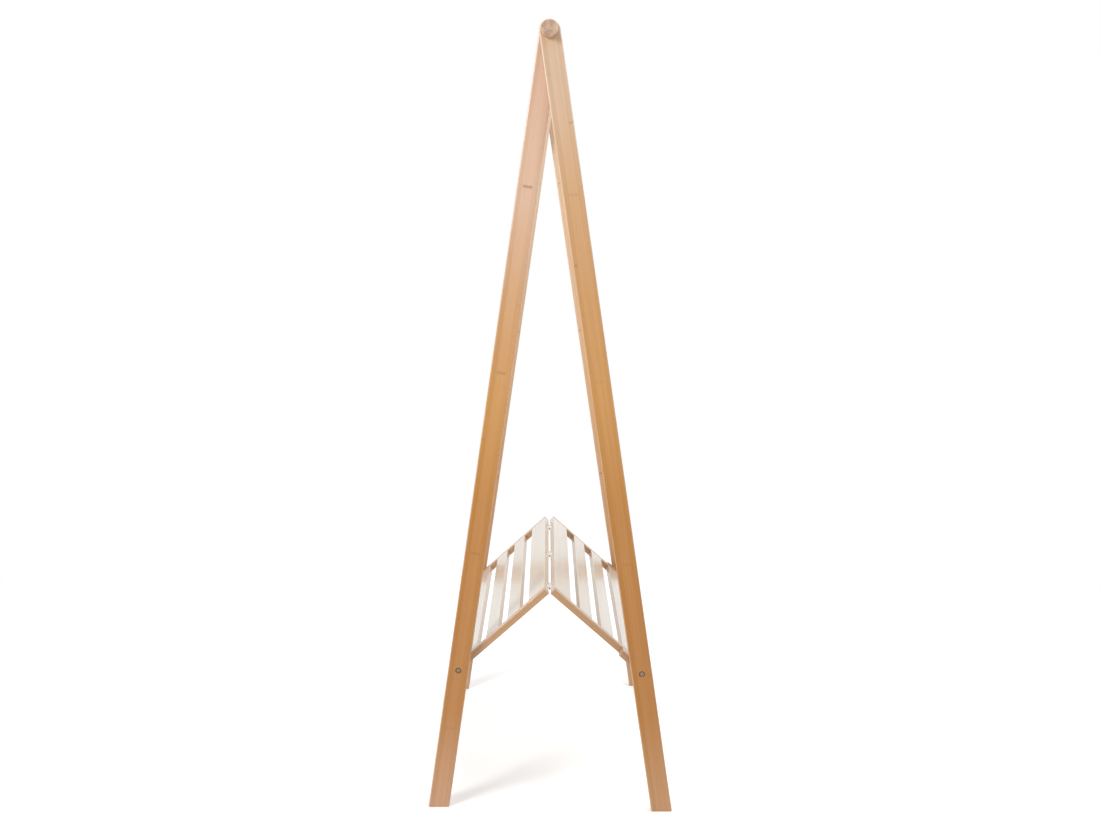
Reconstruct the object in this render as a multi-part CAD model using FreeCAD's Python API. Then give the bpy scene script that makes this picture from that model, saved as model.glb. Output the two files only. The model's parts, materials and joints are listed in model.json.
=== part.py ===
import FreeCAD
import Part

import math
import os

Vector = FreeCAD.Vector

# Folding bamboo clothes rack. Two crossed pairs of legs turn on a round hanging rail, and a slatted
# shelf in two hinged panels spreads them. The rack stands half folded: the shelf's hinged seam is
# raised into a ridge between the legs.
# Lengths are millimetres and angles are degrees. X runs along the rail, Y from the inner legs' feet
# to the outer legs' feet, Z up from the floor. The origin is on the floor under the rail's middle.

# Pose
shelf_tilt = 41.5               # slope of both shelf panels

# Legs
leg_length = 1510.0             # rail axis to the middle of the foot, along the leg
leg_thickness = 20.0
leg_edge_radius = 3.0
shelf_pivot_drop = 1230.0       # rail axis to the shelf's pivot, along the leg

# Hanging rail
rail_diameter = 32.0
rail_wall = 4.0                 # wood of the leg beside the rail
rail_overhang = 25.0            # past the outer leg at each end
rail_edge_chamfer = 1.5

# Shelf panels: slats tenoned into two side rails, flush on top
seam_half_gap = 0.3             # panel's edge to the middle of the seam when the shelf lies flat
shelf_length = 646.0            # along the hanging rail
side_rail_thickness = 15.0
side_rail_lip = 3.5             # side rails' undersides below the plain slats
side_rail_edge_radius = 1.2
seam_slat_width = 42.0          # the slat that carries the hinges, as thick as the side rails are high
slat_width = 32.5
slat_gap = 23.5
slat_thickness = 10.0
slat_edge_radius = 1.2
plain_slat_count = 3            # slats of each panel beside its seam slat
tenon_length = 8.0
tenon_thickness = 5.0
tenon_shoulder = 4.0            # taken off each edge of the slat
pivot_margin = 19.5             # last slat's edge to the pivot
spacer_length = 52.0            # pivot to the inner end of the spacer block

# Hinges along the seam
hinge_count = 3
hinge_length = 40.0
hinge_inset = 65.0              # shelf end to the middle of the outermost hinges
hinge_axis_drop = 2.2           # hinge axis below the side rails' undersides
knuckle_count = 3
hinge_pin_radius = 1.0
hinge_pin_head_rim = 0.6
hinge_pin_head_thickness = 0.8
knuckle_wall = 0.8
knuckle_gap = 0.3               # between neighbouring knuckles
leaf_thickness = 1.2
leaf_height = 6.5               # up the seam slat's edge, from its underside
leaf_screw_inset = 9.0          # leaf end to screw

# Pivot bolts and their sleeve nuts
bolt_radius = 3.0
bolt_head_radius = 4.4
bolt_head_height = 2.2
bolt_head_chamfer = 0.6
bolt_socket_width = 4.0         # hexagon, across flats
bolt_socket_depth = 1.4
head_recess_rim = 1.5           # ring of shadow around the head
head_sink = 1.2                 # head below the leg's face
sleeve_wall = 1.0
sleeve_length = 12.0
flange_rim = 2.4
flange_thickness = 1.2

# Washers
washer_thickness = 1.0
pivot_washer_rim = 3.1          # ring width around a bolt
top_washer_rim = 3.0            # ring width around the hanging rail

# Countersunk screws
hinge_screw_radius = 1.1
hinge_screw_head_radius = 2.1
hinge_screw_length = 14.0
wood_screw_radius = 1.8
wood_screw_head_radius = 3.6
spacer_screw_bite = 13.0        # depth in the spacer block
rail_screw_bite = 18.0          # depth in the hanging rail

# Clearances
running_gap = 0.15              # between flat faces that turn on each other
bore_clearance = 0.1            # radial, shaft in a bore that turns
glue_gap = 0.05                 # around pieces that are fixed together
cut_overrun = 1.0

# Stack of pieces across the rack, from the shelf outwards
shelf_half = shelf_length / 2
side_rail_inner_face = shelf_half - side_rail_thickness
inner_leg_face = shelf_half + running_gap + washer_thickness
spacer_outer_face = inner_leg_face + leg_thickness
outer_leg_face = spacer_outer_face + running_gap + washer_thickness + running_gap
rail_half = outer_leg_face + leg_thickness + rail_overhang
rail_radius = rail_diameter / 2
rail_bore_radius = rail_radius + bore_clearance
bolt_bore_radius = bolt_radius + bore_clearance
sleeve_radius = bolt_radius + glue_gap + sleeve_wall
flange_radius = sleeve_radius + flange_rim
leg_width = rail_diameter + 2 * rail_wall

# Shelf panel lying flat: hinge axis at the origin, panel outwards along +Y
side_rail_height = slat_thickness + side_rail_lip
side_rail_bottom = hinge_axis_drop
side_rail_top = side_rail_bottom + side_rail_height
slat_bottom = side_rail_bottom + side_rail_lip
slat_pitch = slat_width + slat_gap
panel_reach = seam_half_gap + seam_slat_width + plain_slat_count * slat_pitch + pivot_margin
panel_rise = side_rail_bottom + side_rail_height / 2
knuckle_radius = hinge_pin_radius + knuckle_wall
knuckle_pitch = (hinge_length + knuckle_gap) / knuckle_count
leaf_top = side_rail_bottom + leaf_height
leaf_back = seam_half_gap + leaf_thickness
first_hinge = hinge_inset - shelf_half
hinge_pitch = (shelf_length - 2 * hinge_inset) / (hinge_count - 1)
hinge_places = [first_hinge + index * hinge_pitch for index in range(hinge_count)]

# Folded pose: the panels' slope sets how far the legs stand apart
tilt = math.radians(shelf_tilt)
pivot_reach = panel_reach * math.cos(tilt) + panel_rise * math.sin(tilt)
leg_tilt = math.degrees(math.asin(pivot_reach / shelf_pivot_drop))
rail_height = leg_length * math.cos(math.radians(leg_tilt))
pivot_height = rail_height - shelf_pivot_drop * math.cos(math.radians(leg_tilt))
hinge_height = pivot_height + panel_reach * math.sin(tilt) - panel_rise * math.cos(tilt)

origin = Vector(0, 0, 0)
along_x = Vector(1, 0, 0)
along_y = Vector(0, 1, 0)
along_z = Vector(0, 0, 1)
same_direction = 0.01           # sine of the angle within which an edge counts as parallel
nodes = {}


def box(low, high):
    size = high - low
    return Part.makeBox(size.x, size.y, size.z, low)


def rod(radius, start, end, y=0, z=0):
    """A round bar along X."""
    return Part.makeCylinder(radius, end - start, Vector(start, y, z), along_x)


def bore(radius, start, end, y=0, z=0):
    """A drill along X that breaks through both faces."""
    return rod(radius, start - cut_overrun, end + cut_overrun, y, z)


def edges_along(shape, direction):
    """The straight edges that run along a direction, and every round edge."""
    found = []
    for edge in shape.Edges:
        start_tangent = edge.tangentAt(edge.FirstParameter)
        if isinstance(edge.Curve, Part.Circle) or start_tangent.cross(direction).Length < same_direction:
            found.append(edge)
    return found


def other_end(shape):
    """The same piece at the other end of the rack."""
    return shape.mirror(origin, along_x)


def add_pair(name, shape):
    nodes[name + "_right"] = shape
    nodes[name + "_left"] = other_end(shape)


def screw(shank_radius, head_radius, length, head_place, direction, clearance=0):
    """A countersunk screw, or with a clearance the hole it sits in."""
    head_depth = head_radius - shank_radius
    head = Part.makeCone(head_radius + clearance, shank_radius + clearance, head_depth)
    shank = Part.makeCylinder(shank_radius + clearance, length + clearance)
    turned = head.fuse(shank).removeSplitter()
    turned.Placement = FreeCAD.Placement(head_place, FreeCAD.Rotation(along_z, direction))
    return turned


def pose_leg(shape, side):
    """Swing a leg that hangs straight below the rail: side 1 to the outer feet, -1 to the inner."""
    swung = shape.rotated(origin, along_x, side * leg_tilt)
    return swung.translated(Vector(0, 0, rail_height))


def pose_panel(shape, side):
    """Lift a flat panel piece onto its slope: side 1 on the outer legs, -1 on the inner legs."""
    turned = shape
    if side < 0:
        turned = shape.mirror(origin, along_y)
    turned = turned.rotated(origin, along_x, -side * shelf_tilt)
    return turned.translated(Vector(0, 0, hinge_height))


# Legs

def leg(face, side):
    """A flat bar with a round crown about the rail and a foot cut level with the floor."""
    half = leg_width / 2
    foot_slope = side * half * math.tan(math.radians(leg_tilt))
    near_top = Vector(face, half, 0)
    far_top = Vector(face, -half, 0)
    crown = Part.Arc(near_top, Vector(face, 0, half), far_top).toShape()
    near_foot = Vector(face, half, -leg_length - foot_slope)
    far_foot = Vector(face, -half, -leg_length + foot_slope)
    outline = Part.Wire([
        crown,
        Part.makeLine(far_top, far_foot),
        Part.makeLine(far_foot, near_foot),
        Part.makeLine(near_foot, near_top),
    ])
    bar = Part.Face(outline).extrude(Vector(leg_thickness, 0, 0))
    return bar.makeFillet(leg_edge_radius, edges_along(bar, along_z))


def drill_leg(bar, face, rail_clearance):
    outer_face = face + leg_thickness
    recess_floor = outer_face - head_sink - bolt_head_height
    recess_radius = bolt_head_radius + head_recess_rim
    rail_bore = bore(rail_radius + rail_clearance, face, outer_face)
    bolt_bore = bore(bolt_bore_radius, face, outer_face, z=-shelf_pivot_drop)
    recess = rod(recess_radius, recess_floor, outer_face + cut_overrun, z=-shelf_pivot_drop)
    return bar.cut([rail_bore, bolt_bore, recess])


def rail_screw(clearance=0):
    """Driven through the outer leg's edge into the rail."""
    place = Vector(outer_leg_face + leg_thickness / 2, leg_width / 2, 0)
    length = rail_wall + rail_screw_bite
    return screw(wood_screw_radius, wood_screw_head_radius, length, place, -along_y, clearance)


rail_screw_hole = rail_screw(glue_gap)

outer_leg = drill_leg(leg(outer_leg_face, 1), outer_leg_face, glue_gap).cut(rail_screw_hole)
inner_leg = drill_leg(leg(inner_leg_face, -1), inner_leg_face, bore_clearance)
add_pair("outer_leg", pose_leg(outer_leg, 1))
add_pair("inner_leg", pose_leg(inner_leg, -1))

posed_screw = pose_leg(rail_screw(), 1)
nodes["rail_lock_screws"] = Part.Compound([posed_screw, other_end(posed_screw)])


# Hanging rail and the washers that keep the crossed legs apart

rail_bar = rod(rail_radius, -rail_half, rail_half)
rail_rims = [edge for edge in rail_bar.Edges if isinstance(edge.Curve, Part.Circle)]
hanging_rail = rail_bar.makeChamfer(rail_edge_chamfer, rail_rims).translated(Vector(0, 0, rail_height))
posed_hole = pose_leg(rail_screw_hole, 1)
nodes["hanging_rail"] = hanging_rail.cut([posed_hole, other_end(posed_hole)])

top_washer_face = spacer_outer_face + running_gap
top_washer_end = top_washer_face + washer_thickness
top_washer_disc = rod(rail_bore_radius + top_washer_rim, top_washer_face, top_washer_end, z=rail_height)
top_washer_bore = bore(rail_bore_radius, top_washer_face, top_washer_end, z=rail_height)
add_pair("top_washer", top_washer_disc.cut(top_washer_bore))


# Shelf panels

def stadium(start_face, end_face, inner_end):
    """A bar along the panel as high as a side rail, square at its inner end and round about the pivot."""
    half = side_rail_height / 2
    low_inner = Vector(start_face, inner_end, side_rail_bottom)
    low_outer = Vector(start_face, panel_reach, side_rail_bottom)
    tip = Vector(start_face, panel_reach + half, panel_rise)
    high_outer = Vector(start_face, panel_reach, side_rail_top)
    high_inner = Vector(start_face, inner_end, side_rail_top)
    outline = Part.Wire([
        Part.makeLine(low_inner, low_outer),
        Part.Arc(low_outer, tip, high_outer).toShape(),
        Part.makeLine(high_outer, high_inner),
        Part.makeLine(high_inner, low_inner),
    ])
    bar = Part.Face(outline).extrude(Vector(end_face - start_face, 0, 0))
    return bar.makeFillet(side_rail_edge_radius, edges_along(bar, along_y))


def tenon(inner_edge, width, clearance=0):
    """The tongue through both ends of a slat, or with a clearance its pair of mortises."""
    reach = side_rail_inner_face + tenon_length + clearance
    low_edge = inner_edge + tenon_shoulder - clearance
    high_edge = inner_edge + width - tenon_shoulder + clearance
    low_face = slat_bottom + (slat_thickness - tenon_thickness) / 2 - clearance
    high_face = low_face + tenon_thickness + 2 * clearance
    return box(Vector(-reach, low_edge, low_face), Vector(reach, high_edge, high_face))


def slat(inner_edge, width, bottom):
    shoulder = side_rail_inner_face - glue_gap
    outer_edge = inner_edge + width
    board = box(Vector(-shoulder, inner_edge, bottom), Vector(shoulder, outer_edge, side_rail_top))
    rounded = board.makeFillet(slat_edge_radius, edges_along(board, along_x))
    return rounded.fuse(tenon(inner_edge, width)).removeSplitter()


slat_rows = [(seam_half_gap, seam_slat_width, side_rail_bottom)]
for index in range(plain_slat_count):
    first_edge = seam_half_gap + seam_slat_width + slat_gap
    slat_rows.append((first_edge + index * slat_pitch, slat_width, slat_bottom))

mortises = [tenon(inner_edge, width, glue_gap) for inner_edge, width, bottom in slat_rows]


def side_rail(pivot_bore_radius):
    bar = stadium(side_rail_inner_face, shelf_half, seam_half_gap)
    pivot_bore = bore(pivot_bore_radius, side_rail_inner_face, shelf_half, panel_reach, panel_rise)
    return bar.cut(mortises + [pivot_bore])


def spacer_screw(clearance=0):
    """Driven through the side rail, midway between the nut's flange and the last slat."""
    place = Vector(side_rail_inner_face, panel_reach - (flange_radius + pivot_margin) / 2, panel_rise)
    length = side_rail_thickness + spacer_screw_bite
    return screw(wood_screw_radius, wood_screw_head_radius, length, place, along_x, clearance)


spacer_screw_hole = spacer_screw(glue_gap)
spacer_bore = bore(bolt_bore_radius, shelf_half, spacer_outer_face, panel_reach, panel_rise)
spacer_bar = stadium(shelf_half, spacer_outer_face, panel_reach - spacer_length)
spacer = spacer_bar.cut([spacer_bore, spacer_screw_hole])

back_rail = side_rail(sleeve_radius + bore_clearance).cut(spacer_screw_hole)
front_rail = side_rail(sleeve_radius + glue_gap)
add_pair("back_side_rail", pose_panel(back_rail, 1))
add_pair("front_side_rail", pose_panel(front_rail, -1))
add_pair("spacer_block", pose_panel(spacer, 1))

posed_screw = pose_panel(spacer_screw(), 1)
nodes["spacer_screws"] = Part.Compound([posed_screw, other_end(posed_screw)])


# Butt hinges: leaves let into the seam slats' edges, knuckles below them

leaf_screw_height = side_rail_bottom + leaf_height / 2
leaf_screw_offset = hinge_length / 2 - leaf_screw_inset
leaf_screw_places = [
    Vector(place + offset, seam_half_gap, leaf_screw_height)
    for place in hinge_places
    for offset in (-leaf_screw_offset, leaf_screw_offset)
]


def leaf_screw(place, clearance=0):
    return screw(hinge_screw_radius, hinge_screw_head_radius, hinge_screw_length, place, along_y, clearance)


leaf_screw_holes = [leaf_screw(place, glue_gap) for place in leaf_screw_places]


def leaf_recess(place):
    """The shallow seat for a leaf in the seam slat's edge."""
    reach = hinge_length / 2 + glue_gap
    low = Vector(place - reach, seam_half_gap - cut_overrun, side_rail_bottom - cut_overrun)
    return box(low, Vector(place + reach, leaf_back, leaf_top + glue_gap))


def hinge_leaf(place, knuckles):
    """A screwed plate and its own knuckles, which are numbered along the hinge from 0."""
    start = place - hinge_length / 2
    end = start + hinge_length
    plate = box(Vector(start, seam_half_gap, side_rail_bottom), Vector(end, leaf_back, leaf_top))
    rolled = []
    for number in knuckles:
        knuckle_start = start + number * knuckle_pitch
        knuckle_end = knuckle_start + knuckle_pitch - knuckle_gap
        tongue_low = Vector(knuckle_start, seam_half_gap, 0)
        rolled.append(rod(knuckle_radius, knuckle_start, knuckle_end))
        rolled.append(box(tongue_low, Vector(knuckle_end, leaf_back, side_rail_bottom)))
    pin_bore = bore(hinge_pin_radius + glue_gap, start, end)
    return plate.fuse(rolled).removeSplitter().cut([pin_bore] + leaf_screw_holes)


def hinge_pin(place):
    """A pin with a flat head outside each end knuckle."""
    start = place - hinge_length / 2 - running_gap
    end = place + hinge_length / 2 + running_gap
    head_radius = hinge_pin_radius + hinge_pin_head_rim
    shaft = rod(hinge_pin_radius, start, end)
    heads = [
        rod(head_radius, start - hinge_pin_head_thickness, start),
        rod(head_radius, end, end + hinge_pin_head_thickness),
    ]
    return shaft.fuse(heads).removeSplitter()


for number, place in enumerate(hinge_places, start=1):
    nodes[f"back_hinge_leaf_{number}"] = pose_panel(hinge_leaf(place, range(1, knuckle_count, 2)), 1)
    nodes[f"front_hinge_leaf_{number}"] = pose_panel(hinge_leaf(place, range(0, knuckle_count, 2)), -1)
    nodes[f"hinge_pin_{number}"] = hinge_pin(place).translated(Vector(0, 0, hinge_height))

leaf_seats = [leaf_recess(place) for place in hinge_places]
for panel, side in (("back", 1), ("front", -1)):
    posed_screws = [pose_panel(leaf_screw(place), side) for place in leaf_screw_places]
    nodes[f"{panel}_hinge_screws"] = Part.Compound(posed_screws)
    for number, (inner_edge, width, bottom) in enumerate(slat_rows, start=1):
        board = slat(inner_edge, width, bottom)
        if number == 1:
            board = board.cut(leaf_seats + leaf_screw_holes)
        nodes[f"{panel}_slat_{number}"] = pose_panel(board, side)


# Pivot bolts, sleeve nuts and washers, first along the X axis and then moved to their pivots

def pivot_bolt(leg_face, end):
    """A bolt with a chamfered round head and a hexagon socket, from its head back to its end."""
    head_top = leg_face + leg_thickness - head_sink
    seat = head_top - bolt_head_height
    plain_head = rod(bolt_head_radius, seat, head_top)
    rims = [edge for edge in plain_head.Edges if isinstance(edge.Curve, Part.Circle)]
    top_rim = max(rims, key=lambda edge: edge.Curve.Center.x)
    head = plain_head.makeChamfer(bolt_head_chamfer, [top_rim])
    socket_floor = Vector(head_top - bolt_socket_depth, 0, 0)
    corner_radius = bolt_socket_width / math.sqrt(3)
    corner = socket_floor + along_y * corner_radius
    corners = [FreeCAD.Rotation(along_x, 360 * step / 6).multVec(corner) for step in range(7)]
    socket = Part.Face(Part.makePolygon(corners)).extrude(along_x * (bolt_socket_depth + cut_overrun))
    shank = rod(bolt_radius, end, seat)
    return head.fuse(shank).removeSplitter().cut(socket)


def sleeve_nut(flange_end, length):
    """A flanged sleeve whose flange lies against a side rail's inner face."""
    flange_start = flange_end - flange_thickness
    flange = rod(flange_radius, flange_start, flange_end)
    sleeve = rod(sleeve_radius, flange_start, flange_end + length)
    thread_bore = bore(bolt_radius + glue_gap, flange_start, flange_end + length)
    return flange.fuse(sleeve).removeSplitter().cut(thread_bore)


def pivot_washer(start):
    end = start + washer_thickness
    return rod(bolt_bore_radius + pivot_washer_rim, start, end).cut(bore(bolt_bore_radius, start, end))


outer_pivot = Vector(0, pivot_reach, pivot_height)
inner_pivot = Vector(0, -pivot_reach, pivot_height)
outer_nut_face = side_rail_inner_face - running_gap
outer_washer_face = spacer_outer_face + running_gap
inner_washer_face = inner_leg_face - washer_thickness
front_sleeve_length = side_rail_thickness - running_gap

add_pair("outer_bolt", pivot_bolt(outer_leg_face, outer_nut_face - flange_thickness).translated(outer_pivot))
add_pair("outer_sleeve_nut", sleeve_nut(outer_nut_face, sleeve_length).translated(outer_pivot))
add_pair("outer_pivot_washer", pivot_washer(outer_washer_face).translated(outer_pivot))
add_pair("inner_bolt", pivot_bolt(inner_leg_face, inner_washer_face).translated(inner_pivot))
add_pair("inner_pivot_washer", pivot_washer(inner_washer_face).translated(inner_pivot))
add_pair("front_sleeve_nut", sleeve_nut(side_rail_inner_face, front_sleeve_length).translated(inner_pivot))

os.makedirs("parts", exist_ok=True)
for name, shape in nodes.items():
    shape.exportStep(os.path.join("parts", name + ".step"))
    print(name, len(shape.Solids), "solid,", round(shape.Volume / 1000, 2), "cm3, valid", shape.isValid())

print("legs tilt", round(leg_tilt, 3), "degrees; rail axis at height", round(rail_height, 2))
print("shelf pivots", round(pivot_reach, 2), "from the middle, at height", round(pivot_height, 2))
print("seam hinges' axis at height", round(hinge_height, 2))
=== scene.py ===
# %% [markdown]
# # A folding bamboo clothes rack
# Two pairs of flat bamboo legs cross at the top and turn on a round rail. A slatted shelf in two
# panels, with hinges along its middle, holds the legs apart. Here the rack stands half folded, so the
# shelf rises to a ridge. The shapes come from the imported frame, in which every piece is an object of
# its own. This lesson gives those pieces their bamboo, metal and nylon, models screws with a driver's
# cross in the head, and sets up the studio round them.

# %% Load the frame
import json
import math

import bmesh
import bpy
import numpy as np
from mathutils import Matrix, Vector


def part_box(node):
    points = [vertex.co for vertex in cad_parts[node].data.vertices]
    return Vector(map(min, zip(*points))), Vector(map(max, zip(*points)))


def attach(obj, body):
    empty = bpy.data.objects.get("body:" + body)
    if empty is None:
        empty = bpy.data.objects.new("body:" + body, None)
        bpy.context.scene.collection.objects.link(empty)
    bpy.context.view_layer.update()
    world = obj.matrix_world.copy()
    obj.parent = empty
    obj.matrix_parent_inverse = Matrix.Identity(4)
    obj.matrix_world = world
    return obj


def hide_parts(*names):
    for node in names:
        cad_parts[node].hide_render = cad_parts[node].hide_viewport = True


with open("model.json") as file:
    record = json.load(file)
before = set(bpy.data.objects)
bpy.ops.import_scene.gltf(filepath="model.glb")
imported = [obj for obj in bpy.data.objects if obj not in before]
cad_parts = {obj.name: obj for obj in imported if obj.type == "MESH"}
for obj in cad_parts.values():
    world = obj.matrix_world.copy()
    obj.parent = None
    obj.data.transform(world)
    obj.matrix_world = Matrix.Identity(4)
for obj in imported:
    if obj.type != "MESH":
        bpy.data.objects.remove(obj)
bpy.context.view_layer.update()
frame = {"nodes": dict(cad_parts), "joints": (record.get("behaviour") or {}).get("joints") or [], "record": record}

# %% [markdown]
# ## Where the rack leans
# Grain follows the wood, so a material has to know how its piece stands. The record keeps the place of
# each pivot, and two of them give the lean of the legs. The slope of the shelf could be worked out from
# the pivots too, but the largest face of a slat shows it directly, whatever the linkage.

# %% Pivots and slopes
joint_places = {joint["name"]: Vector(joint["pos_m"]) for joint in frame["joints"]}
rail_axis = joint_places["frame_fold"]
outer_pivot = joint_places["back_panel_fold"]
seam_axis = joint_places["seam_fold"]
leg_lean = math.atan2(outer_pivot.y, rail_axis.z - outer_pivot.z)
leg_reach = rail_axis.z / math.cos(leg_lean)
slat_top = max(frame["nodes"]["back_slat_1"].data.polygons, key=lambda face: face.area)
shelf_slope = math.atan2(abs(slat_top.normal.y), abs(slat_top.normal.z))
print("legs lean", round(math.degrees(leg_lean), 2), "degrees")
print("shelf slopes", round(math.degrees(shelf_slope), 2), "degrees")

# %% [markdown]
# ## The camera
# The photograph looks along the rail from one end, from about chest height and a few steps away. A
# level camera would need a large lens shift to frame the rack like this, and that shift would push the
# rack out of every other view. So the camera looks down a little and keeps only a small shift.

# %% Camera at the end of the rail
camera_place = (2.87, -0.004, 1.148)
focal_length_mm = 43.86
frame_shift = -0.035
look_down = math.radians(6.52)
look_right = math.radians(0.10)
quarter_turn = math.radians(90)

camera_data = bpy.data.cameras.new("end_view")
camera_data.lens = focal_length_mm
camera_data.shift_y = frame_shift
camera = bpy.data.objects.new("end_view", camera_data)
camera.location = camera_place
camera.rotation_euler = (quarter_turn - look_down, 0, quarter_turn - look_right)
bpy.context.scene.collection.objects.link(camera)
bpy.context.scene.camera = camera
print("camera", round((camera.location - rail_axis).length, 2), "m from the middle of the rail")

# %% [markdown]
# ## Tools for every material
# Shaders work in linear light, while colours are easiest to pick as sRGB hex values, so one function
# turns one into the other, with the sRGB standard's own numbers. Another adds a node, sets it up and
# wires it in one go. With these, a material reads as a list of its layers.

# %% Colours and nodes
def linear(hex_colour):
    """An sRGB hex colour as the linear RGBA that a shader works in."""
    channels = [int(hex_colour[start:start + 2], 16) / 255 for start in (1, 3, 5)]
    return (*(c / 12.92 if c <= 0.04045 else ((c + 0.055) / 1.055) ** 2.4 for c in channels), 1)


def add(tree, kind, inputs, **settings):
    """Adds a node, sets its fields, and fills its inputs with values or with links."""
    node = tree.nodes.new("ShaderNode" + kind)
    for field, value in settings.items():
        setattr(node, field, value)
    for socket, value in inputs.items():
        if isinstance(value, bpy.types.Node):
            value = next(output for output in value.outputs if output.enabled)
        if isinstance(value, bpy.types.NodeSocket):
            tree.links.new(value, node.inputs[socket])
        else:
            node.inputs[socket].default_value = value
    return node


def new_material(name):
    """An empty material and its node tree."""
    material = bpy.data.materials.new(name)
    material.use_nodes = True
    material.node_tree.nodes.clear()
    return material, material.node_tree


print("mid grey in linear light:", round(linear("#808080")[0], 3))

# %% [markdown]
# A Mix node has one row of sockets for numbers, one for vectors and one for colours. Colours use the
# last pair. A colour ramp starts with two stops, so the further ones have to be added before all get
# their places. A ramp of greys is a mask.

# %% Mixing colours and filling ramps
FACTOR, COLOUR_A, COLOUR_B = 0, 6, 7


def set_stops(ramp, stops):
    """Gives a ramp of greys its stops, each a place and a level from 0 to 1."""
    elements = ramp.color_ramp.elements
    for place, level in stops[2:]:
        elements.new(place)
    for element, (place, level) in zip(elements, stops):
        element.position = place
        element.color = (level, level, level, 1)


print("a Mix node takes its colours at sockets", COLOUR_A, "and", COLOUR_B)

# %% [markdown]
# ## Laminated bamboo
# A bamboo cane is split into strips, which are planed, steamed to a honey colour and glued side by side
# and in layers into a board. Each strip keeps its own tone, its fibres and a knuckle every foot or so,
# where the cane had a joint. An image could show that, but only on one face. A solid pattern, worked
# out from the place inside the board, fits on faces, edges and ends alike, just as sawn bamboo does.
#
# The pattern needs to lie along the piece, so a Mapping node turns the object's coordinates until one
# axis runs along the fibres, one across the strips and one through the layers.

# %% Lay the board along the piece
MM = 0.001
strip_width = 20 * MM
layer_thickness = 7.2 * MM


def board(tree, turn, middle, order):
    """The place in the board along, across and through it, and how far the surface faces each way."""
    rotation = (turn, 0, 0)
    centred = -(Matrix.Rotation(turn, 3, "X") @ middle)
    coordinates = add(tree, "TexCoord", {})
    place = add(tree, "Mapping", {"Vector": coordinates.outputs["Object"], "Location": centred,
                                  "Rotation": rotation})
    facing = add(tree, "Mapping", {"Vector": coordinates.outputs["Normal"], "Rotation": rotation},
                 vector_type="VECTOR")
    facing = add(tree, "VectorMath", {0: facing}, operation="ABSOLUTE")
    places = add(tree, "SeparateXYZ", {0: place}).outputs
    facings = add(tree, "SeparateXYZ", {0: facing}).outputs
    return place, [places[axis] for axis in order], [facings[axis] for axis in order]


print("strips", round(strip_width / MM, 1), "mm wide in layers of", round(layer_thickness / MM, 1), "mm")

# %% [markdown]
# Rounding the place to whole strips and layers numbers every strip in the board, with number 0 in the
# middle. White noise turns the number into a tone of its own, so neighbours differ while each strip
# stays even from end to end.

# %% Number the strips
def nearest_number(tree, place, pitch):
    """The number of the nearest of the points a pitch apart: a half more, rounded down."""
    pitches = add(tree, "Math", {0: place, 1: 1 / pitch, 2: 0.5}, operation="MULTIPLY_ADD")
    return add(tree, "Math", {0: pitches}, operation="FLOOR")


def chance(tree, first_number, second_number, seed):
    """A number from 0 to 1 that stays the same wherever the two whole numbers do."""
    numbers = add(tree, "CombineXYZ", {0: first_number, 1: second_number, 2: seed})
    return add(tree, "TexWhiteNoise", {"Vector": numbers}, noise_dimensions="3D").outputs["Value"]


strip_size_mm = (round(strip_width / MM, 1), round(layer_thickness / MM, 1))
print("each strip of", strip_size_mm, "mm gets a tone of its own")

# %% [markdown]
# Between the strips runs a thin line of glue. On the face of a board the lines part the strips, and on
# its edge they part the layers, so each kind of line counts only on the surface that it crosses. A real
# glue line is a tenth of a millimetre, and it is drawn wider here so that it shows.

# %% Glue lines
glue_half_width = 0.35 * MM


def glue_lines(tree, across, through, edge_on, face_on):
    """1 on the lines between strips and layers, and 0 elsewhere."""
    masks = []
    for place, pitch, seen in ((across, strip_width, face_on), (through, layer_thickness, edge_on)):
        off_middle = add(tree, "Math", {0: place, 1: pitch / 2}, operation="PINGPONG")
        line = add(tree, "MapRange", {"Value": off_middle, "From Min": pitch / 2 - glue_half_width,
                                      "From Max": pitch / 2})
        masks.append(add(tree, "Math", {0: line, 1: seen}, operation="MULTIPLY"))
    return add(tree, "Math", {0: masks[0], 1: masks[1]}, operation="MAXIMUM")


print("glue lines", round(2 * glue_half_width / MM, 2), "mm wide")

# %% [markdown]
# Fibres are noise stretched along the piece. Real bamboo fibres are about a third of a millimetre wide,
# far under a pixel here, so the fine ones are drawn a millimetre wide. Broader streaks a few
# millimetres wide come from the way the cane's wall gets denser towards its skin. A slower noise is
# kept for what bends or wears unevenly.

# %% Fibres and streaks
fibre_width, fibre_length = 1 * MM, 70 * MM
streak_width, streak_length = 5 * MM, 400 * MM
patch_width, patch_length = 14 * MM, 90 * MM


def drawn_out_noise(tree, place, order, width, length, seed):
    """Noise drawn out along the board, from 0 to 1."""
    stretch = {order[0]: 1 / length, order[1]: 1 / width, order[2]: 1 / width}
    drawn_out = add(tree, "Mapping", {"Vector": place, "Location": (seed, seed, seed),
                                      "Scale": (stretch["X"], stretch["Y"], stretch["Z"])})
    return add(tree, "TexNoise", {"Vector": drawn_out, "Scale": 1, "Detail": 2, "Roughness": 0.55})


print("fibres are drawn", round(fibre_width / MM, 1), "mm wide, streaks", round(streak_width / MM, 1), "mm")

# %% [markdown]
# A knuckle shows as a short brown mark across one strip, where the planer cut through the joint of the
# cane, with a slightly swollen band round it. Ping-pong folds the distance along the strip so that it
# reads as the distance to the nearest knuckle. Each strip starts at another place, or the marks would
# line up across the board, and the slow noise bends each mark a little. The planer takes some marks
# almost away, so every knuckle is numbered, and its number gives how plain it shows. Fibres break the
# mark up.

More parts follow.
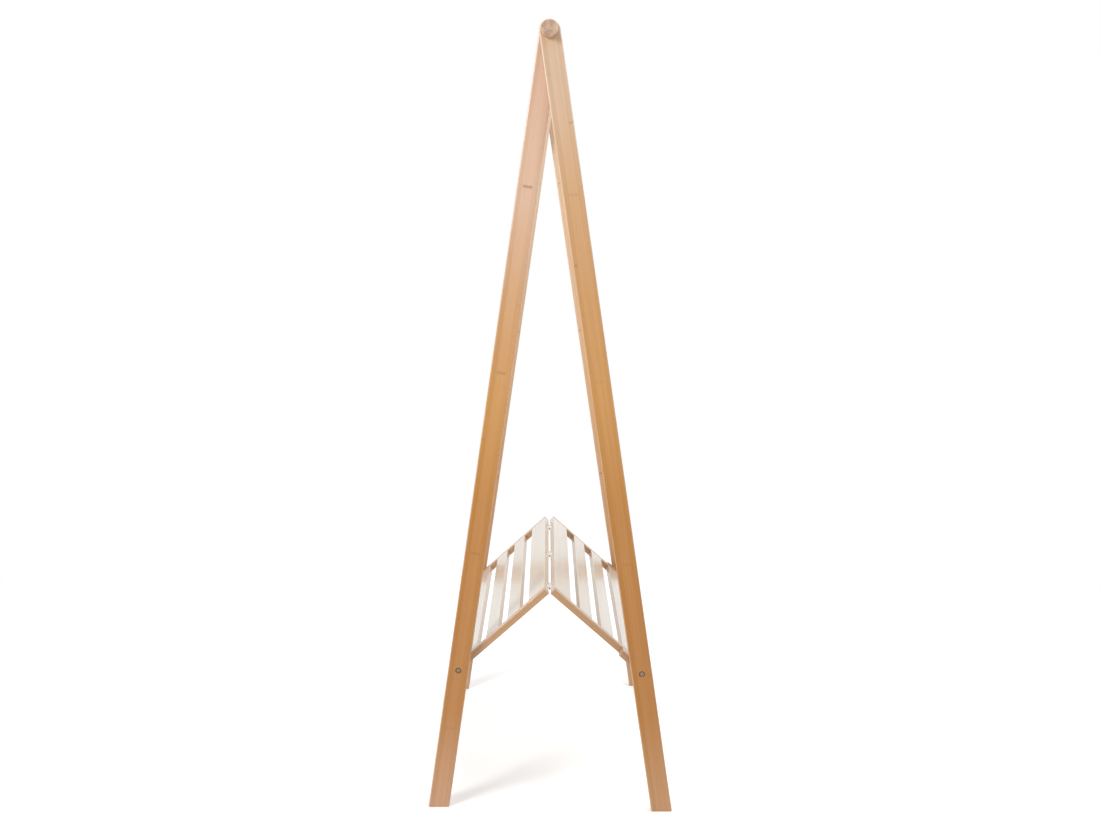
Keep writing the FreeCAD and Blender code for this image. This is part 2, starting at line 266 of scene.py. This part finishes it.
# %% Knuckles
knuckle_spacing = 354 * MM
knuckle_half_height = 4.2 * MM
knuckle_swelling = 13 * MM
knuckle_bend = 7 * MM
strip_stagger_share = 0.37
layer_stagger_share = 0.23
mark_fade_shares = (0.4, 0.5)
broken_fibre_shares = (0.35, 0.6)
broken_mark_share = 0.45


def knuckles(tree, along, across, strip, layer, grain, patch, fibre):
    """Two masks: the brown mark of each knuckle and the swelling round it."""
    start = add(tree, "Math", {0: strip, 1: strip_stagger_share * knuckle_spacing,
                               2: grain["first_knuckle"] - knuckle_bend / 2}, operation="MULTIPLY_ADD")
    start = add(tree, "Math", {0: layer, 1: layer_stagger_share * knuckle_spacing, 2: start},
                operation="MULTIPLY_ADD")
    start = add(tree, "Math", {0: patch, 1: knuckle_bend, 2: start}, operation="MULTIPLY_ADD")
    from_start = add(tree, "Math", {0: along, 1: start}, operation="SUBTRACT")
    nearest = add(tree, "Math", {0: from_start, 1: knuckle_spacing / 2}, operation="PINGPONG")
    mark, swelling = [
        add(tree, "MapRange", {"Value": nearest, "From Min": 0, "From Max": reach, "To Min": 1,
                               "To Max": 0}, interpolation_type="SMOOTHSTEP")
        for reach in (knuckle_half_height, knuckle_swelling)]
    off_middle = add(tree, "Math", {0: across, 1: strip_width / 2}, operation="PINGPONG")
    fade_start, fade_end = mark_fade_shares
    inside = add(tree, "MapRange", {"Value": off_middle, "From Min": fade_start * strip_width,
                                    "From Max": fade_end * strip_width, "To Min": 1, "To Max": 0},
                 interpolation_type="SMOOTHSTEP")
    number = nearest_number(tree, from_start, knuckle_spacing)
    plain = chance(tree, strip, number, grain["knuckle_seed"])
    thin, full = broken_fibre_shares
    broken = add(tree, "MapRange", {"Value": fibre, "From Min": thin, "From Max": full,
                                    "To Min": broken_mark_share, "To Max": 1})
    for share in (inside, plain, broken):
        mark = add(tree, "Math", {0: mark, 1: share}, operation="MULTIPLY")
    return mark, swelling


print("knuckles every", round(knuckle_spacing / MM), "mm")
print("their marks are", round(2 * knuckle_half_height / MM, 1), "mm high")

# %% [markdown]
# Sawn ends show the fibres end on, as brown dots in paler pith. Voronoi cells about as large as a
# bundle of fibres give the dots. The ends drink in more lacquer, unevenly, so they look greyer than the
# faces and patchy.

# %% End grain
bundle_spacing = 1.4 * MM
bundle_disorder = 0.7
dot_shares = (0.15, 0.5)
dot_strength = 0.4
soaked_patch = 12 * MM
soaked_shares = (0.35, 0.65)


def end_grain(tree, place):
    """How dark a sawn end is: patches that soaked up lacquer, and the dots of cut fibre bundles."""
    cells = add(tree, "TexVoronoi", {"Vector": place, "Scale": 1 / bundle_spacing,
                                     "Randomness": bundle_disorder})
    core, rim = dot_shares
    dots = add(tree, "MapRange", {"Value": cells.outputs["Distance"], "From Min": core, "From Max": rim,
                                  "To Min": 1, "To Max": 0}, interpolation_type="SMOOTHSTEP")
    soaked = add(tree, "TexNoise", {"Vector": place, "Scale": 1 / soaked_patch, "Detail": 2})
    dry, wet = soaked_shares
    soaked = add(tree, "MapRange", {"Value": soaked, "From Min": dry, "From Max": wet})
    return add(tree, "Math", {0: dots, 1: dot_strength, 2: soaked}, operation="MULTIPLY_ADD")


print("fibre bundles every", round(bundle_spacing / MM, 1), "mm")

# %% [markdown]
# The colour of a board starts from that of its bamboo and drifts along the piece, because the cane
# does. On that, strips, streaks and fibres make it lighter and darker. Lighter bamboo is also less
# yellow, so the same blend turns the saturation the other way by half as much.

# %% Tone of the board
pattern_weights = {"tone": 0.45, "streak": 0.75, "fibre": 0.35}
dark_blend, light_blend = 0.1, 0.9


def toned(tree, finish, leg_share, patterns):
    """The bamboo's colour, drifting along the piece and changing from strip to strip."""
    colour = linear(finish["colour"])
    for drift in finish["drifts"]:
        level = add(tree, "ValToRGB", {"Fac": leg_share})
        set_stops(level, drift["stops"])
        colour = add(tree, "Mix", {FACTOR: level, COLOUR_A: colour, COLOUR_B: linear(drift["colour"])},
                     data_type="RGBA")
    # The patterns average a half each, and so does their blend.
    blend = 0.5 - 0.5 * sum(pattern_weights.values())
    for pattern, weight in pattern_weights.items():
        blend = add(tree, "Math", {0: patterns[pattern], 1: weight, 2: blend}, operation="MULTIPLY_ADD")
    levels = []
    for spread in (finish["spread"], -finish["spread"] / 2):
        levels.append(add(tree, "MapRange", {"Value": blend, "From Min": dark_blend,
                                             "From Max": light_blend, "To Min": 1 - spread,
                                             "To Max": 1 + spread}))
    value, saturation = levels
    return add(tree, "HueSaturation", {"Color": colour, "Value": value, "Saturation": saturation})


print(len(pattern_weights), "patterns blend into the tone")

# %% [markdown]
# Along the rounded edges the sanding belt goes through the darker skin of the strips and leaves them paler, here
# and there more than elsewhere. The pale edge is also a painted highlight: near the top of the legs the edges are
# painted almost white, standing in for the bright line that light draws along them. An edge is where the surface
# is neither level with the board's face nor square to it, so a ramp on the way it faces finds an edge of any size.

# %% Worn edges and a painted highlight
rounded_edge_stops = [(0.1, 0), (0.4, 1), (0.85, 1), (0.98, 0)]
paler_from_share, palest_from_share = 0.62, 0.9
worn_patch_shares = (0.35, 0.6)
least_worn_share = 0.5


def worn_and_highlit_edges(tree, finish, leg_share, face_on, patch):
    """Two masks: where an edge is rounded, and how pale it is drawn there, from sanding and from a painted
    highlight near the top.
    """
    rounded = add(tree, "ValToRGB", {"Fac": face_on})
    set_stops(rounded, rounded_edge_stops)
    wear_and_highlight = add(tree, "MapRange", {"Value": leg_share, "From Min": paler_from_share,
                                  "From Max": palest_from_share, "To Min": finish["edge_wear"],
                                  "To Max": finish["top_edge_wear_and_highlight"]})
    least, most = worn_patch_shares
    patchy = add(tree, "MapRange", {"Value": patch, "From Min": least, "From Max": most,
                                    "To Min": least_worn_share})
    return rounded, add(tree, "Math", {0: wear_and_highlight, 1: patchy}, operation="MULTIPLY")


print("edges are palest above", round(palest_from_share * leg_reach, 2), "m along a leg")

# %% [markdown]
# The layers come together in one material. A clear satin lacquer lies on top: at a glancing angle it
# mirrors the white studio, which is why the shelf looks almost cream from the end of the rack, while
# the legs, seen square on, keep their honey colour. Fibres and knuckles stand a little proud under the
# lacquer, and the fibres make the wood below it rougher and smoother.

# %% Bamboo under satin lacquer
knuckle_colour = "#8a4f1f"
glue_colour, glue_strength = "#6d4319", 0.12
# The pale edge colour stands for sanding wear and for a painted highlight.
worn_and_highlight_edge_colour = "#f5dcca"
# The slats' sides get this colour as a painted shade.
side_shade_colour, side_facing = "#b07f4f", (0.6, 0.9)
end_colour, end_dot_colour, end_facing = "#d6b99f", "#b08d74", (0.5, 0.7)
fibre_relief_share = 0.5
relief_height, relief_strength = 0.15 * MM, 0.25
smoothest, roughest = 0.36, 0.5
lacquer_roughness, lacquer_ior = 0.18, 1.5
streak_seed_step, patch_seed_step = 3, 7


def bamboo(name, grain, finish):
    """Laminated bamboo. The grain says how the board lies in the piece, the finish what the eye sees."""
    material, tree = new_material(name)
    order, seed = grain["order"], grain["seed"]
    place, places, facings = board(tree, grain["turn"], grain["middle"], order)
    along, across, through = places
    end_on, edge_on, face_on = facings
    strip = nearest_number(tree, across, strip_width)
    layer = nearest_number(tree, through, layer_thickness)
    fibre = drawn_out_noise(tree, place, order, fibre_width, fibre_length, seed)
    streak = drawn_out_noise(tree, place, order, streak_width, streak_length, seed + streak_seed_step)
    patch = drawn_out_noise(tree, place, order, patch_width, patch_length, seed + patch_seed_step)

    leg_share = add(tree, "MapRange", {"Value": along, "From Min": -leg_reach, "From Max": 0})
    patterns = {"tone": chance(tree, strip, layer, seed), "streak": streak, "fibre": fibre}
    colour = toned(tree, finish, leg_share, patterns)
    mark, swelling = knuckles(tree, along, across, strip, layer, grain, patch, fibre)
    lines = glue_lines(tree, across, through, edge_on, face_on)
    # The edge mask carries wear and, near the top of the legs, a painted highlight.
    rounded, wear_and_highlight = worn_and_highlit_edges(tree, finish, leg_share, face_on, patch)
    # Painted shade on the sides that face across the board.
    sides = add(tree, "MapRange", {"Value": edge_on, "From Min": side_facing[0],
                                   "From Max": side_facing[1]})
    for mask, strength, shade in ((mark, finish["knuckles"], knuckle_colour),
                                  (lines, glue_strength, glue_colour),
                                  (rounded, wear_and_highlight, worn_and_highlight_edge_colour),
                                  (sides, finish["painted_shade_sides"], side_shade_colour)):
        amount = add(tree, "Math", {0: mask, 1: strength}, operation="MULTIPLY")
        colour = add(tree, "Mix", {FACTOR: amount, COLOUR_A: colour, COLOUR_B: linear(shade)},
                     data_type="RGBA")
    sawn = add(tree, "MapRange", {"Value": end_on, "From Min": end_facing[0],
                                  "From Max": end_facing[1]})
    dots = add(tree, "Mix", {FACTOR: end_grain(tree, place), COLOUR_A: linear(end_colour),
                             COLOUR_B: linear(end_dot_colour)}, data_type="RGBA")
    colour = add(tree, "Mix", {FACTOR: sawn, COLOUR_A: colour, COLOUR_B: dots}, data_type="RGBA")

    relief = add(tree, "Math", {0: fibre, 1: fibre_relief_share, 2: swelling}, operation="MULTIPLY_ADD")
    bump = add(tree, "Bump", {"Height": relief, "Strength": relief_strength, "Distance": relief_height})
    rough = add(tree, "MapRange", {"Value": fibre, "To Min": smoothest, "To Max": roughest})
    shader = add(tree, "BsdfPrincipled", {"Base Color": colour, "Roughness": rough, "Normal": bump,
                                          "Coat Weight": finish["lacquer"],
                                          "Coat Roughness": lacquer_roughness, "IOR": lacquer_ior})
    add(tree, "OutputMaterial", {"Surface": shader})
    return material


print("lacquer of roughness", lacquer_roughness, "on bamboo of roughness", smoothest, "to", roughest)

# %% [markdown]
# ## Legs and rail
# Every leg was sawn from another board, so each gets its own strips and its own knuckles. The legs are steamed
# bamboo, which turns honey brown. The lower part is drawn darker, and towards the top, and a little at the foot,
# paler: partly the cane's own tone, partly painted shade low down and painted light near the top. The legs of the
# left end are painted paler all along, a painted light on them. Each drift of colour has stops: a place along the
# leg, from the foot at 0 to the rail at 1, and how much of the colour is there.

# %% Colours of the legs, partly painted light and shade
# Near the top of the legs the edges get a painted highlight, almost white.
steamed = {"colour": "#c98d41", "spread": 0.11, "lacquer": 0.3, "edge_wear": 0.32, "top_edge_wear_and_highlight": 0.9,
           "painted_shade_sides": 0, "knuckles": 0.75, "drifts": []}
# These drifts are partly the cane's tone and partly painted light: darker low on the leg as painted shade, paler
# near the top as painted light from above.
darker_low_and_shade = {"colour": "#b3752d", "stops": [(0.0, 0.95), (0.2, 0.95), (0.4, 0.65), (0.54, 0.0)]}
inner_paler = {"colour": "#dcb9a0",
               "stops": [(0.0, 0.5), (0.13, 0.05), (0.42, 0.02), (0.55, 0.12), (0.67, 0.36), (0.79, 0.85),
                         (1.0, 0.95)]}
outer_paler = {"colour": "#d5b597",
               "stops": [(0.0, 0.36), (0.13, 0.02), (0.42, 0.02), (0.55, 0.12), (0.67, 0.25), (0.8, 0.46),
                         (0.92, 0.95), (1.0, 1.0)]}
# The legs of the left end are painted paler, as painted light on them.
painted_light_paler = {"colour": "#dfc4a6", "stops": [(0.0, 0.15), (0.35, 0.3), (0.7, 0.5), (1.0, 0.5)]}
leg_boards = {
    "outer_leg_right": {"lean": -leg_lean, "seed": 34, "first_knuckle": -0.030, "knuckle_seed": 7931,
                        "drifts": [darker_low_and_shade, outer_paler]},
    "outer_leg_left": {"lean": -leg_lean, "seed": 2, "first_knuckle": -0.210, "knuckle_seed": 2,
                       "drifts": [darker_low_and_shade, outer_paler, painted_light_paler]},
    "inner_leg_right": {"lean": leg_lean, "seed": 72, "first_knuckle": -0.014, "knuckle_seed": 978,
                        "drifts": [darker_low_and_shade, inner_paler]},
    "inner_leg_left": {"lean": leg_lean, "seed": 4, "first_knuckle": -0.120, "knuckle_seed": 4,
                       "drifts": [darker_low_and_shade, inner_paler, painted_light_paler]},
}
print(len(leg_boards), "boards for the legs")

# %% [markdown]
# A node of the frame keeps its mesh, and only its material slots get a new material. A leg's board is
# laid from the middle of its thickness at the height of the rail, so places along it count down to the
# foot. The rail is a turned bar of the same bamboo, with no worn edge.

# %% Give the legs and the rail their bamboo
def dress(node, material):
    """Puts one material on every slot of a node."""
    for slot in frame["nodes"][node].material_slots:
        slot.material = material


for node, leg in leg_boards.items():
    low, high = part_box(node)
    grain = {"turn": leg["lean"], "middle": Vector(((low.x + high.x) / 2, 0, rail_axis.z)),
             "order": "ZYX", "seed": leg["seed"], "first_knuckle": leg["first_knuckle"],
             "knuckle_seed": leg["knuckle_seed"]}
    dress(node, bamboo(node + "_bamboo", grain, steamed | {"drifts": leg["drifts"]}))
rail_grain = {"turn": 0, "middle": rail_axis, "order": "XYZ", "seed": 5, "first_knuckle": 0.1,
              "knuckle_seed": 5}
turned = steamed | {"colour": "#cfa06c", "edge_wear": 0, "top_edge_wear_and_highlight": 0}
dress("hanging_rail", bamboo("rail_bamboo", rail_grain, turned))
print(len(leg_boards), "legs and the rail are dressed")

# %% [markdown]
# ## Shelf
# The slats run along the rack and the side rails across it, so they need two grain directions on each
# panel, and both follow the panel's slope. The slats are natural bamboo, which is only dried and stays
# blond, under a fuller coat of lacquer than the legs have, because things are pushed about on them.
# Their sides are painted browner, a painted shade on the faces that turn away from the light.

# %% Give the shelf its bamboo
blond = {"colour": "#dbcfbe", "spread": 0.07, "lacquer": 1, "edge_wear": 0.4, "top_edge_wear_and_highlight": 0.4,
         "painted_shade_sides": 0.4, "knuckles": 0.35, "drifts": []}
tan = {"colour": "#b98b5c", "spread": 0.13, "lacquer": 1, "edge_wear": 0.4, "top_edge_wear_and_highlight": 0.4,
       "painted_shade_sides": 0, "knuckles": 0.6, "drifts": []}
for panel, slope, slat_seed, rail_seed in (("front", -shelf_slope, 6, 7), ("back", shelf_slope, 8, 9)):
    along_rack = {"turn": slope, "middle": seam_axis, "order": "XYZ", "seed": slat_seed,
                  "first_knuckle": 0.08, "knuckle_seed": slat_seed}
    across_rack = {"turn": slope, "middle": seam_axis, "order": "YXZ", "seed": rail_seed,
                   "first_knuckle": 0.05, "knuckle_seed": rail_seed}
    slat_bamboo = bamboo(panel + "_slat_bamboo", along_rack, blond)
    rail_bamboo = bamboo(panel + "_side_rail_bamboo", across_rack, tan)
    for node in frame["nodes"]:
        if node.startswith(panel + "_slat"):
            dress(node, slat_bamboo)
        elif node.startswith(panel + "_side_rail") or (panel == "back" and "spacer_block" in node):
            dress(node, rail_bamboo)
    print(panel, "panel dressed")

# %% [markdown]
# ## Metal and nylon
# The hinges are stamped from sheet steel and plated with bright nickel, and turn on steel pins drawn dark grey,
# partly as a painted shade in the ends of the hinge barrels. The bolts, nuts and the other screws are zinc plated,
# which is duller, and a warm grey among so much bamboo. Plating follows every tiny mark of the metal below, so a
# fine noise moves the roughness and the tint a little instead of leaving one flat mirror.

# %% Plated steel
WHITE = linear("#ffffff")
mark_noise = (0.3, 0.7)
gloss_change_share = 0.3
glint_share = 0.1
mark_depth, mark_strength = 0.05 * MM, 0.1


def plated(name, colour, roughness, mark_size):
    """Plated steel with faint marks in its gloss."""
    material, tree = new_material(name)
    coordinates = add(tree, "TexCoord", {})
    marks = add(tree, "TexNoise", {"Vector": coordinates.outputs["Object"], "Scale": 1 / mark_size,
                                   "Detail": 3})
    least, most = mark_noise
    rough = add(tree, "MapRange", {"Value": marks, "From Min": least, "From Max": most,
                                   "To Min": (1 - gloss_change_share) * roughness,
                                   "To Max": (1 + gloss_change_share) * roughness})
    glint = add(tree, "MapRange", {"Value": marks, "From Min": least, "From Max": most,
                                   "To Max": glint_share})
    tint = add(tree, "Mix", {FACTOR: glint, COLOUR_A: linear(colour), COLOUR_B: WHITE}, data_type="RGBA")
    bump = add(tree, "Bump", {"Height": marks, "Strength": mark_strength, "Distance": mark_depth})
    shader = add(tree, "BsdfPrincipled", {"Base Color": tint, "Metallic": 1, "Roughness": rough,
                                          "Normal": bump})
    add(tree, "OutputMaterial", {"Surface": shader})
    return material


nickel_plate = plated("bright_nickel_plate", "#ebe8e1", 0.16, 1.5 * MM)
zinc_plate = plated("zinc_plate", "#8f7c67", 0.42, 1.2 * MM)
# The pins' dark colour is partly painted shade at the ends of the hinge barrels.
pin_steel_and_shade = plated("pin_steel_and_shade", "#524d47", 0.45, 1.2 * MM)
print(nickel_plate.name, zinc_plate.name, pin_steel_and_shade.name)

# %% [markdown]
# The washers are moulded nylon, off-white, with the fine grain that the mould leaves. Only their rims
# show, between the legs.

# %% Moulded nylon
nylon_grain_size = 0.8 * MM
nylon_grain_depth, nylon_grain_strength = 0.03 * MM, 0.15
nylon, tree = new_material("moulded_nylon")
coordinates = add(tree, "TexCoord", {})
moulding = add(tree, "TexNoise", {"Vector": coordinates.outputs["Object"], "Scale": 1 / nylon_grain_size})
off_white = add(tree, "Mix", {FACTOR: moulding, COLOUR_A: linear("#dedbd2"), COLOUR_B: linear("#eceae4")},
                data_type="RGBA")
bump = add(tree, "Bump", {"Height": moulding, "Strength": nylon_grain_strength,
                          "Distance": nylon_grain_depth})
shader = add(tree, "BsdfPrincipled", {"Base Color": off_white, "Roughness": 0.45, "IOR": 1.53,
                                      "Normal": bump})
add(tree, "OutputMaterial", {"Surface": shader})
print(nylon.name, "with a grain of", round(nylon_grain_size / MM, 1), "mm")

# %% [markdown]
# The record says which slot each node takes its finish from, so the slots give the nodes their metal.
# The pins share the hinges' slot, but get the dark pin steel, whose darkness also paints the shade at the ends of
# the barrels.

# %% Give the fittings their metal and nylon
slot_materials = {"plated_hinge": nickel_plate, "steel_fastener": zinc_plate, "nylon_washer": nylon}
node_slots = {subpart["node"]: subpart["material_slot"] for subpart in frame["record"]["subparts"]}
fittings = [node for node, slot in node_slots.items() if slot in slot_materials]
for node in fittings:
    dress(node, pin_steel_and_shade if node.startswith("hinge_pin") else slot_materials[node_slots[node]])
print(len(fittings), "fittings dressed")

# %% [markdown]
# ## Screws
# The frame's screws are plain cones on rods. Real ones have a cross pressed into the head, for the
# driver. To sit exactly where the frame's screws are, each new one is measured from its old one: the
# longest direction of its points is its axis, and its widest point tells at which end the head is. The
# frame's meshes are loose triangles, so a merged copy is split into separate screws first.

# %% Measure the frame's screws
merge_distance = 0.01 * MM


def separate_screws(node):
    """The points of each screw in a node that holds several."""
    shape = bmesh.new()
    shape.from_mesh(frame["nodes"][node].data)
    bmesh.ops.remove_doubles(shape, verts=shape.verts, dist=merge_distance)
    left = set(shape.verts)
    screws = []
    while left:
        group = []
        edge_of_group = [left.pop()]
        while edge_of_group:
            vert = edge_of_group.pop()
            group.append(vert.co.copy())
            neighbours = {edge.other_vert(vert) for edge in vert.link_edges} & left
            left -= neighbours
            edge_of_group.extend(neighbours)
        screws.append(np.array(group))
    shape.free()
    return screws


def measure_screw(points):
    """The middle of a screw's head, the direction it is driven in, its head's radius and its length."""
    middle = points.mean(axis=0)
    axis = np.linalg.svd(points - middle)[2][0]
    depths = (points - middle) @ axis
    radii = np.linalg.norm(points - middle - np.outer(depths, axis), axis=1)
    if depths[radii.argmax()] > 0:
        axis, depths = -axis, -depths
    return Vector(middle + depths.min() * axis), Vector(axis), radii.max(), np.ptp(depths)


screw_bodies = {"back_hinge_screws": "back_panel", "front_hinge_screws": "front_panel",
                "spacer_screws": "back_panel", "rail_lock_screws": "outer_frame"}
measured_screws = {}
for node in screw_bodies:
    screws = [measure_screw(points) for points in separate_screws(node)]
    measured_screws[node] = screws
    head, direction, head_radius, length = screws[0]
    width_mm, length_mm = round(2 * head_radius / MM, 2), round(length / MM, 2)
    print(len(screws), node, width_mm, "mm wide and", length_mm, "mm long")

# %% [markdown]
# One screw is modelled flat on the XY plane, from a round face. Cuts across the face mark out the
# cross, which is pushed in, with its floor drawn smaller so that its walls slope. From the rim of the
# face the cone, the shank and the point are pulled out. Shares of the head's radius keep the screw
# right at any size.

# %% Model one screw
head_segments = 24
arm_share = 0.6
arm_half_width_share = 0.13
cross_depth_share = 0.5
cross_floor_share = 0.6
shank_share = 0.5
point_share = 0.15
rim_share = 0.05


def press_cross(shape, head_radius):
    """Cuts a cross out of a flat round face and pushes it in."""
    arm = arm_share * head_radius
    half_width = arm_half_width_share * head_radius
    for direction in (Vector((1, 0, 0)), Vector((0, 1, 0))):
        for cut in (-arm, -half_width, half_width, arm):
            everything = shape.verts[:] + shape.edges[:] + shape.faces[:]
            bmesh.ops.bisect_plane(shape, geom=everything, plane_co=cut * direction, plane_no=direction)
    cross = []
    for face in shape.faces:
        near, far = sorted(abs(place) for place in face.calc_center_median()[:2])
        if near < half_width and far < arm:
            cross.append(face)
    pushed = bmesh.ops.extrude_face_region(shape, geom=cross)["geom"]
    bmesh.ops.delete(shape, geom=cross, context="FACES")
    floor_verts = [item for item in pushed if isinstance(item, bmesh.types.BMVert)]
    bmesh.ops.scale(shape, verts=floor_verts, vec=(cross_floor_share, cross_floor_share, 1))
    bmesh.ops.translate(shape, verts=floor_verts, vec=(0, 0, cross_depth_share * head_radius))


def model_screw(head_radius, length):
    """A countersunk screw with a cross recess, its head at the origin and its point along +Z."""
    shape = bmesh.new()
    bmesh.ops.create_circle(shape, cap_ends=True, segments=head_segments, radius=head_radius)
    press_cross(shape, head_radius)
    rim = [edge for edge in shape.edges if edge.is_boundary]
    shank_radius = shank_share * head_radius
    cone_depth = head_radius - shank_radius
    shank_length = length - cone_depth - shank_radius
    ring = rim
    for depth, narrower in ((cone_depth, shank_share), (shank_length, 1), (shank_radius, point_share)):
        pulled = bmesh.ops.extrude_edge_only(shape, edges=ring)["geom"]
        ring = [item for item in pulled if isinstance(item, bmesh.types.BMEdge)]
        ring_verts = [item for item in pulled if isinstance(item, bmesh.types.BMVert)]
        bmesh.ops.scale(shape, verts=ring_verts, vec=(narrower, narrower, 1))
        bmesh.ops.translate(shape, verts=ring_verts, vec=(0, 0, depth))
    bmesh.ops.edgeloop_fill(shape, edges=ring)
    bmesh.ops.bevel(shape, geom=rim, offset=rim_share * head_radius, segments=2, profile=0.5,
                    affect="EDGES", material=-1)
    bmesh.ops.recalc_face_normals(shape, faces=shape.faces)
    return shape


head, direction, head_radius, length = measured_screws["spacer_screws"][0]
trial_screw = model_screw(head_radius, length)
open_edges = [edge for edge in trial_screw.edges if not edge.is_manifold]
print("a screw has", len(trial_screw.faces), "faces and", len(open_edges), "open edges")
trial_screw.free()

# %% [markdown]
# Each group of screws becomes one piece, as it is one node in the frame. The screws are turned and
# moved in their mesh, so that the piece itself stays at the origin like every node. It rides on the
# body of the node that it replaces, and takes its finish from the same slot.

# %% Set the screws in place
def set_screws(node, body, slot):
    """One piece with a modelled screw in place of every screw of a node."""
    mesh = bpy.data.meshes.new("cross_" + node)
    together = bmesh.new()
    for head, direction, head_radius, length in measured_screws[node]:
        screw = model_screw(head_radius, length)
        turn = direction.to_track_quat("Z", "Y").to_matrix().to_4x4()
        bmesh.ops.transform(screw, matrix=Matrix.Translation(head) @ turn, verts=screw.verts)
        screw.to_mesh(mesh)
        screw.free()
        together.from_mesh(mesh)
    together.to_mesh(mesh)
    together.free()
    mesh.materials.append(slot_materials[slot])
    piece = bpy.data.objects.new("cross_" + node, mesh)
    bpy.context.scene.collection.objects.link(piece)
    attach(piece, body)
    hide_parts(node)
    return piece


for node, body in screw_bodies.items():
    piece = set_screws(node, body, node_slots[node])
    print(piece.name, len(piece.data.polygons), "faces on", body)

# %% [markdown]
# ## Floor, light and background
# The studio is white all round. The floor is lit like any surface, so it keeps the rack's soft shadow,
# and a little glow that only the camera and the reflections see lifts it to white. Further out the
# floor turns to that white alone, so it meets the background without an edge.

# %% White that only the eye sees
def seen_directly(tree):
    """1 for rays that come from the camera, a reflection or through glass, 0 for light that is bouncing."""
    path = add(tree, "LightPath", {}).outputs
    either = add(tree, "Math", {0: path["Is Camera Ray"], 1: path["Is Glossy Ray"]}, operation="MAXIMUM")
    return add(tree, "Math", {0: either, 1: path["Is Transmission Ray"]}, operation="MAXIMUM")


floor_glow = 0.26
shadow_reach = 0.9
fade_reach = 2.2
floor_material, tree = new_material("white_studio_floor")
coordinates = add(tree, "TexCoord", {})
distance = add(tree, "VectorMath", {0: coordinates.outputs["Object"]}, operation="LENGTH").outputs["Value"]
faded = add(tree, "MapRange", {"Value": distance, "From Min": shadow_reach, "From Max": fade_reach},
            interpolation_type="SMOOTHSTEP")
seen = seen_directly(tree)
faded_seen = add(tree, "Math", {0: faded, 1: seen}, operation="MULTIPLY")
lift = add(tree, "Math", {0: seen, 1: floor_glow}, operation="MULTIPLY")
matt = add(tree, "BsdfDiffuse", {"Color": linear("#f7f7f7")})
glow = add(tree, "Emission", {"Color": WHITE, "Strength": lift})
pure_white = add(tree, "Emission", {"Color": WHITE, "Strength": 1})
lit = add(tree, "AddShader", {0: matt, 1: glow})
whole = add(tree, "MixShader", {0: faded_seen, 1: lit, 2: pure_white})
add(tree, "OutputMaterial", {"Surface": whole})
print("shadows fade from", shadow_reach, "to", fade_reach, "m")

# %% [markdown]
# The floor itself is one large flat face.

# %% Floor
floor_reach = 6
floor_shape = bmesh.new()
bmesh.ops.create_grid(floor_shape, x_segments=1, y_segments=1, size=floor_reach)
floor_mesh = bpy.data.meshes.new("studio_floor")
floor_shape.to_mesh(floor_mesh)
floor_shape.free()
floor_mesh.materials.append(floor_material)
floor = bpy.data.objects.new("studio_floor", floor_mesh)
bpy.context.scene.collection.objects.link(floor)
print("floor", 2 * floor_reach, "m wide")

# %% [markdown]
# The main light is a softbox to the upper left of the camera. It draws bright lines along the left-hand
# edges of the legs and leaves the other edges in shade. A box overhead and a weak one on the right keep
# both halves of the shelf about as light, one behind lights the side that the camera doesn't see, and
# the white room fills in the rest. Reflections leave out the box behind, which would draw white lines
# on the shelf's seam.

# %% Background and lamps
room_light = 0.36
world = bpy.data.worlds.new("white_studio")
bpy.context.scene.world = world
world.use_nodes = True
tree = world.node_tree
tree.nodes.clear()
strength = add(tree, "MapRange", {"Value": seen_directly(tree), "To Min": room_light, "To Max": 1})
background = add(tree, "Background", {"Color": WHITE, "Strength": strength})
add(tree, "OutputWorld", {"Surface": background})

softboxes = {
    "key_softbox": {"place": (2.6, -2.4, 2.3), "size": 1.1, "watts": 72, "mirrored": True},
    "overhead_softbox": {"place": (0.2, 0.9, 3.0), "size": 2.4, "watts": 40, "mirrored": True},
    "fill_softbox": {"place": (2.6, 2.2, 1.6), "size": 2.0, "watts": 7, "mirrored": True},
    "back_softbox": {"place": (-2.9, 0.7, 2.0), "size": 2.0, "watts": 34, "mirrored": False},
}
lit_point = Vector((0, 0, 0.8))
for name, softbox in softboxes.items():
    lamp = bpy.data.lights.new(name, "AREA")
    lamp.size = softbox["size"]
    lamp.energy = softbox["watts"]
    lamp_object = bpy.data.objects.new(name, lamp)
    lamp_object.location = softbox["place"]
    lamp_object.rotation_euler = (lit_point - lamp_object.location).to_track_quat("-Z", "Y").to_euler()
    lamp_object.visible_glossy = softbox["mirrored"]
    bpy.context.scene.collection.objects.link(lamp_object)
bpy.context.scene.view_settings.view_transform = "Standard"
print(len(softboxes), "softboxes of", sum(softbox["watts"] for softbox in softboxes.values()), "W in all")
